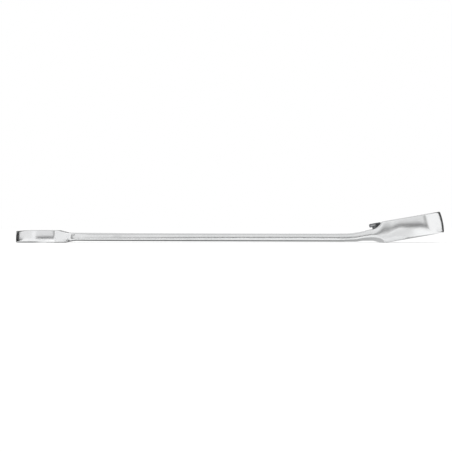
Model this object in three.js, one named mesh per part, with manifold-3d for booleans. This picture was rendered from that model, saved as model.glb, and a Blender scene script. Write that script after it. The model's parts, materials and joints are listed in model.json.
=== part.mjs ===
// Reversible ratcheting combination spanner: one forged body with an open jaw at one end and a
// ratchet ring at the other, and the ratchet's gear, pawl and reversing lever inside the ring head.
// Millimetres, +Z up, +X along the shank towards the ring. The spanner lies on the open end's
// underside and on the heel of the ring, with the origin under the middle of its length.

import * as THREE from 'three';
import { mergeVertices } from 'three/addons/utils/BufferGeometryUtils.js';
import Module from 'manifold-3d';

const wasm = await Module();
wasm.setup();

// Whole spanner
const OVERALL_LENGTH = 178;
const ACROSS_FLATS = 13;
const FLATS_CLEARANCE = 0.1;
const FIT_GAP = 0.3;
const SKIN = 0.05;
const HEAD_BULGE = 0.55;

// Open end
const OPEN_RADIUS = 13.5;
const OPEN_THICKNESS = 5.2;
const JAW_ANGLE = THREE.MathUtils.degToRad(15);
const JAW_SEAT = 2;
const JAW_TIP_TRIM = 0.4;
const SHOULDER_REACH = 3.6;
const FLARE_LENGTH = 6.2;
const FLARE_POWER = 1.2;

// Shank
const SHANK_WIDTH = 9;
const SHANK_THICKNESS = 3.35;
const SHANK_BULGE = 1.3;
const SHANK_SINK = 0.13;
const SHANK_DROP = 0.54;

// Ring head and the neck that carries it
const RING_WALL = 3.35;
const RING_THICKNESS = 8.75;
const RING_TILT = THREE.MathUtils.degToRad(10);
const NECK_LENGTH = 15.5;
const NECK_WIDTH = 17.2;
const NECK_RELIEF = 0.42;
const NECK_WIDTH_POWER = 2.5;
const NECK_SLOPE_SHARE = 0.4;
const NECK_SLOPE_POWER = 1.5;
const NECK_CREST_POWER = 5;
const RELIEF_FROM_SHARE = 0.3;
const RELIEF_RUN_SHARE = 0.2;
const HEEL_FROM_SHARE = 0.74;
const WEB_REACH = 5;

// Ratchet gear, in the ring's own frame, where heights count from the ring's mid-plane
const GEAR_TEETH = 72;
const GEAR_TIP_RADIUS = 9.4;
const TOOTH_DEPTH = 0.5;
const TOOTH_ROOT_SHARE = 0.42;
const TOOTH_TIP_SHARE = 0.14;
const TOOTH_BAND_BOTTOM = -2.6;
const TOOTH_BAND_TOP = 2.2;
const JOURNAL_RADIUS = 8.5;
const GEAR_RECESS = 0.15;
const HOLE_POINTS = 12;

// Snap ring over the gear
const SNAP_RING_INNER = 9;
const SNAP_RING_WIDTH = 1.1;
const SNAP_RING_HEIGHT = 0.7;
const SNAP_RING_SPLIT = THREE.MathUtils.degToRad(24);

// Pawl, which rocks on a pin behind the gear
const PAWL_TEETH = 4;
const PAWL_TOOTH_START = 5;
const PAWL_ROOT_SHARE = 0.27;
const PAWL_TIP_SHARE = 0.04;
const PAWL_DEPTH = 1;
const PAWL_HEIGHT = 4.1;
const PAWL_BACK_WIDTH = 4;
const PAWL_BACK_WALL = 0.42;
const PAWL_ROCK = THREE.MathUtils.degToRad(3);
const TOOTH_PLAY = 0.12;
const PIN_RADIUS = 0.55;
const PIN_ROOF = 0.8;

// Reversing lever, its clip, and the sprung plunger that pushes the pawl over
const STEM_RADIUS = 1.8;
const STEM_DEPTH = 4.6;
const LEVER_THICKNESS = 1.5;
const LEVER_EYE_RADIUS = 2;
const LEVER_TAIL = 3.3;
const LEVER_TIP_RADIUS = 0.95;
const LEVER_EDGE = 0.25;
const LEVER_SWING = THREE.MathUtils.degToRad(25);
const STEM_PAWL_GAP = 0.5;
const CLIP_HEIGHT = 0.3;
const CLIP_DEPTH = 1.6;
const CLIP_BITE = 0.35;
const CLIP_SPLIT = THREE.MathUtils.degToRad(70);
const PLUNGER_RADIUS = 0.55;
const PLUNGER_LENGTH = 1.2;
const PLUNGER_DEPTH = 3.4;
const SPRING_WIRE = 0.2;
const SPRING_TURNS = 2.5;
const SPRING_PITCH = 0.64;

// Fineness of the round forms
const SIDE_STEPS = 8;
const SIDE_ROUNDNESS = 0.75;
const RING_SEGMENTS = 72;
const HOLE_SEGMENTS = 32;
const FLARE_STEPS = 6;
const NECK_STEPS = 10;
const WEB_STEPS = 5;
const COIL_STEPS = 8;
const WIRE_SIDES = 5;
const WELD_SHARE = 1e-5;

// Places worked out from the sizes
const jawHalf = (ACROSS_FLATS + FLATS_CLEARANCE) / 2;
const jawTipAlong = Math.sqrt(OPEN_RADIUS ** 2 - jawHalf ** 2) - JAW_TIP_TRIM;
const jawTipHalf = Math.sqrt(OPEN_RADIUS ** 2 - jawTipAlong ** 2);
const openReach = jawTipAlong * Math.cos(JAW_ANGLE) + jawTipHalf * Math.sin(JAW_ANGLE);
const openCentreX = openReach - OVERALL_LENGTH / 2;
const shoulderX = openCentreX + SHOULDER_REACH;
const shoulderHalf = Math.sqrt(OPEN_RADIUS ** 2 - SHOULDER_REACH ** 2);
const openMid = OPEN_THICKNESS / 2;

const ringRadius = GEAR_TIP_RADIUS + RING_WALL;
const ringHalf = RING_THICKNESS / 2;
const ringSide = sideProfile(HEAD_BULGE, ringHalf);
const ringReach = Math.max(...ringSide.map(({ inset, height }) => (
  (ringRadius - inset) * Math.cos(RING_TILT) - height * Math.sin(RING_TILT))));
const ringDrop = Math.max(...ringSide.map(({ inset, height }) => (
  (ringRadius - inset) * Math.sin(RING_TILT) - height * Math.cos(RING_TILT))));
const ringCentre = new THREE.Vector3(OVERALL_LENGTH / 2 - ringReach, 0, ringDrop);
const ringMatrix = new THREE.Matrix4().makeRotationY(-RING_TILT).setPosition(ringCentre);

const gearRootRadius = GEAR_TIP_RADIUS - TOOTH_DEPTH;
const boreRadius = GEAR_TIP_RADIUS + FIT_GAP;
const lipTop = TOOTH_BAND_BOTTOM - FIT_GAP;
const snapRingBottom = TOOTH_BAND_TOP + FIT_GAP;
const snapRingTop = snapRingBottom + SNAP_RING_HEIGHT;
const snapRingOuter = SNAP_RING_INNER + SNAP_RING_WIDTH;
const toothPitch = 2 * Math.PI / GEAR_TEETH;

const pawlToothMiddle = (PAWL_TOOTH_START + PAWL_TEETH / 2) * toothPitch;
const pawlPivotReach = (GEAR_TIP_RADIUS + gearRootRadius) / 2 / Math.cos(pawlToothMiddle);
const pawlBase = GEAR_TIP_RADIUS + TOOTH_PLAY;
const pawlOuter = pawlBase + PAWL_DEPTH;
const pinHoleRadius = PIN_RADIUS + FIT_GAP;
const pawlBack = pawlPivotReach + pinHoleRadius + PAWL_BACK_WALL;
const pawlBottom = TOOTH_BAND_BOTTOM + FIT_GAP;
const pawlTop = pawlBottom + PAWL_HEIGHT;
const pawlTravel = 2 * PAWL_ROCK * pawlPivotReach * Math.sin(pawlToothMiddle);
const leverReach = pawlBack + STEM_PAWL_GAP + STEM_RADIUS;
const leverTop = ringHalf;
const leverBottom = leverTop - LEVER_THICKNESS;
const stemBottom = leverBottom - STEM_DEPTH;
const stemHoleRadius = STEM_RADIUS + FIT_GAP;
const clipMiddle = leverBottom - CLIP_DEPTH;
const plungerHeight = leverBottom - PLUNGER_DEPTH;
const plungerTip = leverReach - pawlBack - FIT_GAP;

const materials = {
  chrome: { color: 0xd2d4d6, roughness: 0.28, metalness: 1 },
  gearSteel: { color: 0xb9bbbd, roughness: 0.35, metalness: 1 },
  springSteel: { color: 0x8d9094, roughness: 0.4, metalness: 1 },
  leverSteel: { color: 0x55585c, roughness: 0.3, metalness: 1 },
};

// Small helpers

function mix(a, b, t) {
  return a + (b - a) * t;
}

function smooth(t) {
  return THREE.MathUtils.smoothstep(t, 0, 1);
}

// Rounded side of a head or the shank, from its bottom edge to its top edge
function sideProfile(bulge, halfHeight) {
  const profile = [];
  for (let step = 0; step <= SIDE_STEPS; step += 1) {
    const angle = Math.PI * (step / SIDE_STEPS - 0.5);
    const rise = Math.sign(Math.sin(angle)) * Math.abs(Math.sin(angle)) ** SIDE_ROUNDNESS;
    const reach = Math.abs(Math.cos(angle)) ** SIDE_ROUNDNESS;
    profile.push({ inset: bulge * (1 - reach), height: halfHeight * rise });
  }
  return profile;
}

// Closed geometry from rings of points with equal counts, and a triangulated cap on both ends
function loftGeometry(rings, capOutline) {
  const count = rings[0].length;
  const positions = rings.flatMap((ring) => ring.flatMap((point) => [point.x, point.y, point.z]));
  const faces = [];
  for (let level = 0; level + 1 < rings.length; level += 1) {
    for (let i = 0; i < count; i += 1) {
      const next = (i + 1) % count;
      const low = level * count;
      const high = low + count;
      faces.push([low + i, low + next, high + next], [low + i, high + next, high + i]);
    }
  }
  const last = (rings.length - 1) * count;
  for (const [a, b, c] of THREE.ShapeUtils.triangulateShape(capOutline, [])) {
    faces.push([c, b, a], [last + a, last + b, last + c]);
  }
  const geometry = new THREE.BufferGeometry();
  geometry.setAttribute('position', new THREE.Float32BufferAttribute(positions, 3));
  geometry.setIndex(faces.flat());
  return geometry;
}

function solid(geometry) {
  const bare = geometry.clone();
  bare.deleteAttribute('normal');
  bare.deleteAttribute('uv');
  const merged = mergeVertices(bare, WELD_SHARE);
  return new wasm.Manifold(new wasm.Mesh({
    numProp: 3,
    vertProperties: new Float32Array(merged.attributes.position.array),
    triVerts: new Uint32Array(merged.index.array),
  }));
}

function geometryOf(manifold) {
  const { vertProperties, triVerts } = manifold.getMesh();
  const geometry = new THREE.BufferGeometry();
  geometry.setAttribute('position', new THREE.BufferAttribute(vertProperties, 3));
  geometry.setIndex(new THREE.BufferAttribute(triVerts, 1));
  geometry.computeVertexNormals();
  return geometry;
}

// Upright disc between two heights, centred at a place on the X axis
function disc(radius, bottom, top, x = 0, segments = HOLE_SEGMENTS) {
  const geometry = new THREE.CylinderGeometry(radius, radius, top - bottom, segments);
  geometry.rotateX(Math.PI / 2);
  geometry.translate(x, 0, (bottom + top) / 2);
  return geometry;
}

// Upright prism of a flat outline between two heights
function prism(shape, bottom, top, curveSegments = HOLE_SEGMENTS) {
  const geometry = new THREE.ExtrudeGeometry(shape, {
    depth: top - bottom,
    bevelEnabled: false,
    curveSegments,
  });
  geometry.translate(0, 0, bottom);
  return geometry;
}

// Point of the ring's plan by its distance from the gear's axis and its angle from the shank side
function behindGear(radius, angle) {
  return new THREE.Vector2(-radius * Math.cos(angle), radius * Math.sin(angle));
}

// Split ring of flat section, with the split facing the shank
function splitRing(inner, outer, split) {
  const shape = new THREE.Shape();
  shape.absarc(0, 0, outer, -Math.PI + split / 2, Math.PI - split / 2, false);
  shape.absarc(0, 0, inner, Math.PI - split / 2, -Math.PI + split / 2, true);
  shape.closePath();
  return shape;
}

function makeMesh(name, geometry, material) {
  const mesh = new THREE.Mesh(geometry, new THREE.MeshStandardMaterial(material));
  mesh.name = name;
  return mesh;
}

// Body: open end

function openHead() {
  const start = Math.acos(SHOULDER_REACH / OPEN_RADIUS);
  const sweep = 2 * (Math.PI - start);
  const outlineAt = (inset) => {
    const points = [];
    for (let step = 0; step <= RING_SEGMENTS; step += 1) {
      const angle = start + sweep * step / RING_SEGMENTS;
      const radius = OPEN_RADIUS - inset;
      points.push(new THREE.Vector2(
        Math.min(radius * Math.cos(angle), SHOULDER_REACH), radius * Math.sin(angle)));
    }
    return points;
  };
  const rings = sideProfile(HEAD_BULGE, openMid).map(({ inset, height }) => (
    outlineAt(inset).map(({ x, y }) => new THREE.Vector3(openCentreX + x, y, openMid + height))));
  return loftGeometry(rings, outlineAt(HEAD_BULGE));
}

// Slot between the jaws, with a round seat, a mouth turned away from the shank's line and blunt tips
function jawSlot() {
  const clear = 2 * OPEN_RADIUS;
  const shape = new THREE.Shape();
  shape.moveTo(-clear, -clear);
  shape.lineTo(-jawTipAlong, -clear);
  shape.lineTo(-jawTipAlong, -jawHalf);
  shape.lineTo(-JAW_SEAT, -jawHalf);
  shape.absarc(-JAW_SEAT, 0, jawHalf, -Math.PI / 2, Math.PI / 2, false);
  shape.lineTo(-jawTipAlong, jawHalf);
  shape.lineTo(-jawTipAlong, clear);
  shape.lineTo(-clear, clear);
  shape.closePath();
  const geometry = prism(shape, -OPEN_THICKNESS, 2 * OPEN_THICKNESS);
  geometry.rotateZ(-JAW_ANGLE);
  geometry.translate(openCentreX, 0, 0);
  return geometry;
}

// Body: flare, shank, neck and the web that joins the neck to the ring, as one run of sections

function bodySections() {
  const shankHalf = SHANK_WIDTH / 2;
  const crestX = ringCentre.x - (ringRadius - HEAD_BULGE) * Math.cos(RING_TILT)
    - ringHalf * Math.sin(RING_TILT);
  const neckStartX = crestX - NECK_LENGTH;
  const webEndX = ringCentre.x - WEB_REACH;
  const webEndHalf = Math.sqrt(ringRadius ** 2 - WEB_REACH ** 2);
  const ringPlane = (x, side) => (
    ringCentre.z + (x - ringCentre.x) * Math.tan(RING_TILT) + side * ringHalf / Math.cos(RING_TILT));
  const sections = [];
  const add = (x, halfWidth, bottom, top, bulge) => sections.push({ x, halfWidth, bottom, top, bulge });

  add(shoulderX - SHOULDER_REACH / 2, shoulderHalf - HEAD_BULGE, SKIN, OPEN_THICKNESS - SKIN, HEAD_BULGE);
  for (let step = 0; step <= FLARE_STEPS; step += 1) {
    const run = step / FLARE_STEPS;
    const half = mix(OPEN_THICKNESS, SHANK_THICKNESS, smooth(run)) / 2;
    const middle = openMid - SHANK_SINK * smooth(run);
    add(
      shoulderX + run * FLARE_LENGTH,
      mix(shankHalf, shoulderHalf, (1 - run) ** FLARE_POWER),
      middle - half,
      middle + half,
      mix(HEAD_BULGE, SHANK_BULGE, run),
    );
  }

  const shankBottom = openMid - SHANK_DROP - SHANK_THICKNESS / 2;
  const shankTop = shankBottom + SHANK_THICKNESS;
  const crestZ = ringPlane(crestX, 1) - SKIN;
  for (let step = 0; step <= NECK_STEPS; step += 1) {
    const run = step / NECK_STEPS;
    const relieved = shankBottom + NECK_RELIEF * smooth((run - RELIEF_FROM_SHARE) / RELIEF_RUN_SHARE);
    const heel = smooth((run - HEEL_FROM_SHARE) / (1 - HEEL_FROM_SHARE));
    const rise = mix(run ** NECK_CREST_POWER, run ** NECK_SLOPE_POWER, NECK_SLOPE_SHARE);
    add(
      mix(neckStartX, crestX, run),
      mix(shankHalf, NECK_WIDTH / 2, run ** NECK_WIDTH_POWER),
      mix(relieved, SKIN, heel),
      mix(shankTop, crestZ, rise),
      mix(SHANK_BULGE, HEAD_BULGE, run),
    );
  }

  for (let step = 1; step <= WEB_STEPS; step += 1) {
    const run = step / WEB_STEPS;
    const x = mix(crestX, webEndX, run);
    add(
      x,
      mix(NECK_WIDTH / 2, webEndHalf, 1 - (1 - run) ** 2),
      Math.max(SKIN, ringPlane(x, -1) + SKIN),
      ringPlane(x, 1) - SKIN,
      HEAD_BULGE,
    );
  }
  return sections;
}

function bodyRun() {
  const rings = bodySections().map(({ x, halfWidth, bottom, top, bulge }) => {
    const middle = (bottom + top) / 2;
    const side = sideProfile(bulge, (top - bottom) / 2);
    const right = side.map(({ inset, height }) => (
      new THREE.Vector3(x, halfWidth - inset, middle + height)));
    const left = right.map(({ y, z }) => new THREE.Vector3(x, -y, z)).reverse();
    return [...right, ...left];
  });
  const capOutline = rings[0].map(({ y, z }) => new THREE.Vector2(y, z));
  return loftGeometry(rings, capOutline);
}

// Body: ring head and everything cut into it, in the ring's own frame

function ringHead() {
  const profile = [
    new THREE.Vector2(0, -ringHalf),
    ...ringSide.map(({ inset, height }) => new THREE.Vector2(ringRadius - inset, height)),
    new THREE.Vector2(0, ringHalf),
  ];
  return new THREE.LatheGeometry(profile, RING_SEGMENTS).rotateX(Math.PI / 2);
}

// Hollow behind the gear where the pawl rocks, open to the gear's bore and to the lever's hole
function pawlHollow() {
  const outer = pawlOuter + pawlTravel / 2 + FIT_GAP;
  const end = pawlEndAngle() + pawlTravel / outer;
  const back = pawlBack + FIT_GAP + STEM_PAWL_GAP;
  const backHalf = PAWL_BACK_WIDTH / 2 + FIT_GAP + PAWL_DEPTH / 2;
  const points = [behindGear(GEAR_TIP_RADIUS - 2 * TOOTH_DEPTH, -end)];
  for (let step = 0; step <= SIDE_STEPS; step += 1) {
    points.push(behindGear(outer, mix(-end, -pawlToothMiddle, step / SIDE_STEPS)));
  }
  points.push(new THREE.Vector2(-back, -backHalf));
  const mirrored = points.map(({ x, y }) => new THREE.Vector2(x, -y)).reverse();
  return prism(new THREE.Shape([...points, ...mirrored]), pawlBottom - FIT_GAP, pawlTop + FIT_GAP);
}

function ringCuts() {
  const above = 2 * RING_THICKNESS;
  const grooveRadius = snapRingOuter + FIT_GAP;
  const clipGroove = stemHoleRadius + CLIP_BITE + FIT_GAP;
  const clipHalf = CLIP_HEIGHT / 2 + FIT_GAP;
  return [
    disc(boreRadius, lipTop, above, 0, RING_SEGMENTS),
    disc(JOURNAL_RADIUS + FIT_GAP, -above, lipTop + FIT_GAP, 0, RING_SEGMENTS),
    disc(grooveRadius, snapRingBottom - FIT_GAP, snapRingTop + FIT_GAP, 0, RING_SEGMENTS),
    pawlHollow(),
    disc(pinHoleRadius, -above, pawlTop + FIT_GAP + PIN_ROOF, -pawlPivotReach),
    disc(stemHoleRadius, stemBottom - FIT_GAP, above, -leverReach),
    disc(clipGroove, clipMiddle - clipHalf, clipMiddle + clipHalf, -leverReach),
    disc(LEVER_EYE_RADIUS + FIT_GAP, leverBottom - FIT_GAP, above, -leverReach),
  ];
}

function spannerBody() {
  let body = solid(openHead()).subtract(solid(jawSlot()));
  body = body.add(solid(bodyRun()).subtract(solid(jawSlot())));
  body = body.add(solid(ringHead().applyMatrix4(ringMatrix)));
  for (const cut of ringCuts()) {
    body = body.subtract(solid(cut.applyMatrix4(ringMatrix)));
  }
  return makeMesh('spanner_body', geometryOf(body), materials.chrome);
}

// Gear: toothed band between two plain journals, with a twelve-point hole through it

function twelvePointHole() {
  const step = Math.PI / HOLE_POINTS;
  const corner = jawHalf / Math.cos(2 * step);
  const valley = jawHalf / Math.cos(step);
  const points = [];
  for (let point = 0; point < 2 * HOLE_POINTS; point += 1) {
    const angle = point * step;
    const radius = point % 2 === 0 ? corner : valley;
    points.push(new THREE.Vector2(radius * Math.cos(angle), radius * Math.sin(angle)));
  }
  return new THREE.Path(points);
}

function driveGear() {
  const teeth = [];
  for (let tooth = 0; tooth < GEAR_TEETH; tooth += 1) {
    for (const [share, radius] of [
      [-TOOTH_ROOT_SHARE, gearRootRadius],
      [-TOOTH_TIP_SHARE, GEAR_TIP_RADIUS],
      [TOOTH_TIP_SHARE, GEAR_TIP_RADIUS],
      [TOOTH_ROOT_SHARE, gearRootRadius],
    ]) {
      teeth.push(behindGear(radius, -(tooth + share) * toothPitch));
    }
  }
  const band = new THREE.Shape(teeth);
  band.holes.push(twelvePointHole());
  const journal = new THREE.Shape().absarc(0, 0, JOURNAL_RADIUS, 0, 2 * Math.PI, false);
  journal.holes.push(twelvePointHole());
  const reach = ringHalf - GEAR_RECESS;
  const journalSolid = solid(prism(journal, -reach, reach, RING_SEGMENTS / 2));
  const gear = solid(prism(band, TOOTH_BAND_BOTTOM, TOOTH_BAND_TOP)).add(journalSolid);
  return makeMesh('drive_gear', geometryOf(gear), materials.gearSteel);
}

function gearSnapRing() {
  const shape = splitRing(SNAP_RING_INNER, snapRingOuter, SNAP_RING_SPLIT);
  const geometry = prism(shape, snapRingBottom, snapRingTop, RING_SEGMENTS / 2);
  return makeMesh('gear_snap_ring', geometry, materials.springSteel);
}

// Pawl: teeth at both ends, of which one set is in mesh with the gear at each end of its rock

function pawlEndAngle() {
  return (PAWL_TOOTH_START + PAWL_TEETH) * toothPitch + toothPitch / 4;
}

function pawlOutline() {
  const pivot = behindGear(pawlPivotReach, 0);
  const meshed = [];
  for (let tooth = 0; tooth < PAWL_TEETH; tooth += 1) {
    const middle = (PAWL_TOOTH_START + tooth + 0.5) * toothPitch;
    for (const [share, radius] of [
      [-PAWL_ROOT_SHARE, pawlBase],
      [-PAWL_TIP_SHARE, gearRootRadius + TOOTH_PLAY],
      [PAWL_TIP_SHARE, gearRootRadius + TOOTH_PLAY],
      [PAWL_ROOT_SHARE, pawlBase],
    ]) {
      meshed.push(behindGear(radius, middle + share * toothPitch));
    }
  }
  meshed.push(behindGear(pawlBase, pawlEndAngle()));
  const relaxed = meshed.map((point) => point.clone().rotateAround(pivot, PAWL_ROCK));
  const half = [];
  const front = (PAWL_TOOTH_START - 0.5) * toothPitch;
  for (let step = 0; step <= SIDE_STEPS / 2; step += 1) {
    half.push(behindGear(pawlBase + pawlTravel / 2, front * step / (SIDE_STEPS / 2)));
  }
  half.push(...relaxed);
  for (let step = 0; step <= SIDE_STEPS / 2; step += 1) {
    half.push(behindGear(pawlOuter, mix(pawlEndAngle(), pawlToothMiddle, step / (SIDE_STEPS / 2))));
  }
  half.push(new THREE.Vector2(-pawlBack, PAWL_BACK_WIDTH / 2));
  const mirrored = half.slice(1).map(({ x, y }) => new THREE.Vector2(x, -y)).reverse();
  return [...half, ...mirrored].map((point) => point.sub(pivot));
}

function pawlGroup() {
  const shape = new THREE.Shape(pawlOutline());
  shape.holes.push(new THREE.Path().absarc(0, 0, pinHoleRadius, 0, 2 * Math.PI, false));
  const group = new THREE.Group();
  group.position.set(-pawlPivotReach, 0, 0);
  group.rotation.z = -PAWL_ROCK;
  group.add(makeMesh('pawl', prism(shape, pawlBottom, pawlTop, HOLE_SEGMENTS / 2), materials.gearSteel));
  return group;
}

function pawlPin() {
  const top = pawlTop + PIN_ROOF;
  const geometry = disc(PIN_RADIUS, GEAR_RECESS - ringHalf, top, -pawlPivotReach);
  return makeMesh('pawl_pin', geometry, materials.gearSteel);
}

// Lever: thumb plate on a stem, with a bore across the stem for the plunger and its spring

function leverPlate() {
  const span = LEVER_TAIL - LEVER_TIP_RADIUS;
  const tangent = Math.acos((LEVER_EYE_RADIUS - LEVER_TIP_RADIUS) / span);
  const shape = new THREE.Shape();
  shape.absarc(0, 0, LEVER_EYE_RADIUS - LEVER_EDGE, Math.PI + tangent, Math.PI - tangent, false);
  shape.absarc(-span, 0, LEVER_TIP_RADIUS - LEVER_EDGE, Math.PI - tangent, Math.PI + tangent, false);
  shape.closePath();
  const geometry = new THREE.ExtrudeGeometry(shape, {
    depth: LEVER_THICKNESS - 2 * LEVER_EDGE,
    bevelThickness: LEVER_EDGE,
    bevelSize: LEVER_EDGE,
    bevelSegments: 2,
    curveSegments: HOLE_SEGMENTS / 2,
  });
  geometry.translate(0, 0, leverBottom + LEVER_EDGE);
  return geometry;
}

// Rod along the lever's own X axis, which runs from the stem towards the gear
function rod(radius, from, to) {
  const geometry = disc(radius, from, to, 0, HOLE_SEGMENTS / 2);
  geometry.rotateY(Math.PI / 2);
  geometry.translate(0, 0, plungerHeight);
  return geometry;
}

const plungerTail = plungerTip - PLUNGER_LENGTH;
const springFront = plungerTail - FIT_GAP;
const springBack = springFront - SPRING_TURNS * SPRING_PITCH - SPRING_WIRE;

function reversingLever() {
  const clipHalf = CLIP_HEIGHT / 2 + FIT_GAP;
  const clipSeat = STEM_RADIUS - CLIP_BITE - FIT_GAP;
  const collar = disc(STEM_RADIUS + FIT_GAP, clipMiddle - clipHalf, clipMiddle + clipHalf);
  const seat = disc(clipSeat, clipMiddle - 2 * clipHalf, clipMiddle + 2 * clipHalf);
  const groove = solid(collar).subtract(solid(seat));
  const lever = solid(leverPlate())
    .add(solid(disc(STEM_RADIUS, stemBottom, leverBottom + LEVER_EDGE)))
    .subtract(solid(rod(PLUNGER_RADIUS + FIT_GAP, springBack - FIT_GAP, leverReach)))
    .subtract(groove);
  return makeMesh('reversing_lever', geometryOf(lever), materials.leverSteel);
}

function leverClip() {
  const shape = splitRing(STEM_RADIUS - CLIP_BITE, stemHoleRadius + CLIP_BITE, CLIP_SPLIT);
  const half = CLIP_HEIGHT / 2;
  const geometry = prism(shape, clipMiddle - half, clipMiddle + half, HOLE_SEGMENTS / 2);
  return makeMesh('lever_clip', geometry, materials.springSteel);
}

function detentPlunger() {
  const nose = PLUNGER_RADIUS / 2;
  const profile = [new THREE.Vector2(0, plungerTail), new THREE.Vector2(PLUNGER_RADIUS, plungerTail)];
  for (let step = 0; step < SIDE_STEPS / 2; step += 1) {
    const angle = Math.PI / SIDE_STEPS * step;
    profile.push(new THREE.Vector2(
      PLUNGER_RADIUS * Math.cos(angle), plungerTip - nose + nose * Math.sin(angle)));
  }
  profile.push(new THREE.Vector2(0, plungerTip));
  const geometry = new THREE.LatheGeometry(profile, HOLE_SEGMENTS / 2);
  geometry.rotateZ(-Math.PI / 2);
  geometry.translate(0, 0, plungerHeight);
  return makeMesh('detent_plunger', geometry, materials.gearSteel);
}

// Coil spring as one unbroken tube
function detentSpring() {
  const steps = Math.round(COIL_STEPS * SPRING_TURNS);
  const coilRadius = PLUNGER_RADIUS - SPRING_WIRE / 2;
  const centres = [];
  const rings = [];
  for (let step = 0; step <= steps; step += 1) {
    const turn = 2 * Math.PI * SPRING_TURNS * step / steps;
    const x = springBack + SPRING_WIRE / 2 + SPRING_PITCH * turn / (2 * Math.PI);
    const outward = new THREE.Vector3(0, Math.cos(turn), Math.sin(turn));
    const centre = new THREE.Vector3(x, 0, plungerHeight).addScaledVector(outward, coilRadius);
    centres.push(centre);
    const ring = [];
    for (let side = 0; side < WIRE_SIDES; side += 1) {
      const angle = 2 * Math.PI * side / WIRE_SIDES;
      ring.push(centre.clone()
        .addScaledVector(outward, SPRING_WIRE / 2 * Math.cos(angle))
        .sub(new THREE.Vector3(SPRING_WIRE / 2 * Math.sin(angle), 0, 0)));
    }
    rings.push(ring);
  }
  const leastGap = Math.min(...centres.slice(COIL_STEPS).map((centre, i) => (
    centre.distanceTo(centres[i]) - SPRING_WIRE)));
  console.log(`least gap between the spring's turns: ${leastGap.toFixed(2)} mm`);
  const cap = rings[0].map((point, side) => {
    const angle = 2 * Math.PI * side / WIRE_SIDES;
    return new THREE.Vector2(Math.cos(angle), Math.sin(angle));
  });
  return makeMesh('detent_spring', loftGeometry(rings, cap), materials.springSteel);
}

function leverGroup() {
  const group = new THREE.Group();
  group.position.set(-leverReach, 0, 0);
  group.rotation.z = LEVER_SWING;
  group.add(reversingLever(), detentPlunger(), detentSpring());
  return group;
}

// The clip's split faces the pawl, so that the pawl's back has room
function leverClipGroup() {
  const group = new THREE.Group();
  group.position.set(-leverReach, 0, 0);
  group.rotation.z = Math.PI;
  group.add(leverClip());
  return group;
}

// Whole spanner, with the ratchet's pieces in the tilted frame of the ring

const ringFrame = new THREE.Group();
ringFrame.position.copy(ringCentre);
ringFrame.rotation.y = -RING_TILT;
ringFrame.add(driveGear(), gearSnapRing(), pawlGroup(), pawlPin(), leverGroup(), leverClipGroup());

const spanner = new THREE.Group();
spanner.add(spannerBody(), ringFrame);

export default spanner;
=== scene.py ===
import functools
import json
import math

import bpy
import numpy as np
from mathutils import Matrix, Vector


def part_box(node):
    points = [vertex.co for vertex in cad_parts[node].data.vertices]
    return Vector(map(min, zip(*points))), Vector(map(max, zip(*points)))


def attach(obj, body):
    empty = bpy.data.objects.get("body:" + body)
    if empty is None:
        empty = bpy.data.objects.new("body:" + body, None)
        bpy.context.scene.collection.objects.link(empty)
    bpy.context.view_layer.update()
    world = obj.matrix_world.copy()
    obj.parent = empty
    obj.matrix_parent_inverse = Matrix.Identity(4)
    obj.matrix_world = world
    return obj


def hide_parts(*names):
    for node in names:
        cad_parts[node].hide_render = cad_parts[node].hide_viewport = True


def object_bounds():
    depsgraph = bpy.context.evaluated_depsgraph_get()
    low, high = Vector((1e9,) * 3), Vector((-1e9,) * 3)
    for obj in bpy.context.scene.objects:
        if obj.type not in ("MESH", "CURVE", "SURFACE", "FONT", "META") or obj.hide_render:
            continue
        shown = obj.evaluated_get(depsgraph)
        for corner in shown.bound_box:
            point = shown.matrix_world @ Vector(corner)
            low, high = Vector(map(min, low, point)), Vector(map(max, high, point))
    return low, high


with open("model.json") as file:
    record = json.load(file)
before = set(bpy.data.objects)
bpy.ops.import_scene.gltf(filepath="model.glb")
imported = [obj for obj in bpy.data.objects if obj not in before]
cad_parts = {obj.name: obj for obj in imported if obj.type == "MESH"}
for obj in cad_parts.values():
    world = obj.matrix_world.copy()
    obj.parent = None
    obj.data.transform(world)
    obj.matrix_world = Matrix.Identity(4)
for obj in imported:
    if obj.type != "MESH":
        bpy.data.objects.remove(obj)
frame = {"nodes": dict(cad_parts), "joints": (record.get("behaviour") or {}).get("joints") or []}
cad_low, cad_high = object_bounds()

# Sizes in millimetres and angles in degrees, in the frame's own axes. A crown is how far a flank falls back
# at its edges. A lean is the level where a flank stands out most, from -1 at the bottom to 1 at the top.
# A run is the length over which one form passes into the next.
MM = 0.001

# Open end
OPEN_RADIUS = 13.5
OPEN_THICKNESS = 5.2
OPEN_CROWN = 0.3
OPEN_LEAN = -0.36
OPEN_EDGE = 0.55
TIP_CROWN = 0.14
TIP_CROWN_RUN = 9
TIP_DROP = 0.33
TIP_DROP_RUN = 6
JAW_WIDTH = 13.1
JAW_ANGLE = 15
JAW_SEAT = 2
JAW_TIP_TRIM = 0.4
JAW_TIP_EDGE = 0.5
SHOULDER_REACH = 3.6
SHOULDER_EDGE = 0.4
FLARE_TOP_START = 4.2
FLARE_BOTTOM_START = 6.6
FLARE_RUN = 6
FLARE_FILLET = 0.6

# Shank
SHANK_WIDTH = 9
SHANK_THICKNESS = 3.35
SHANK_BOTTOM_LEFT = 0.8
SHANK_BOTTOM_RIGHT = 0.38
SHANK_SAG_POWER = 0.6
SHANK_EDGE = 1.15
SHANK_CROWN = 0.3
SHANK_LEAN_LEFT = -0.85
SHANK_LEAN_RIGHT = -0.12
SHANK_LEAN_POWER = 2.8
ROOT_CROWN = 0.02
ROOT_RUN = 2.4
ROOT_EDGE_RUN = 12

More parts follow.
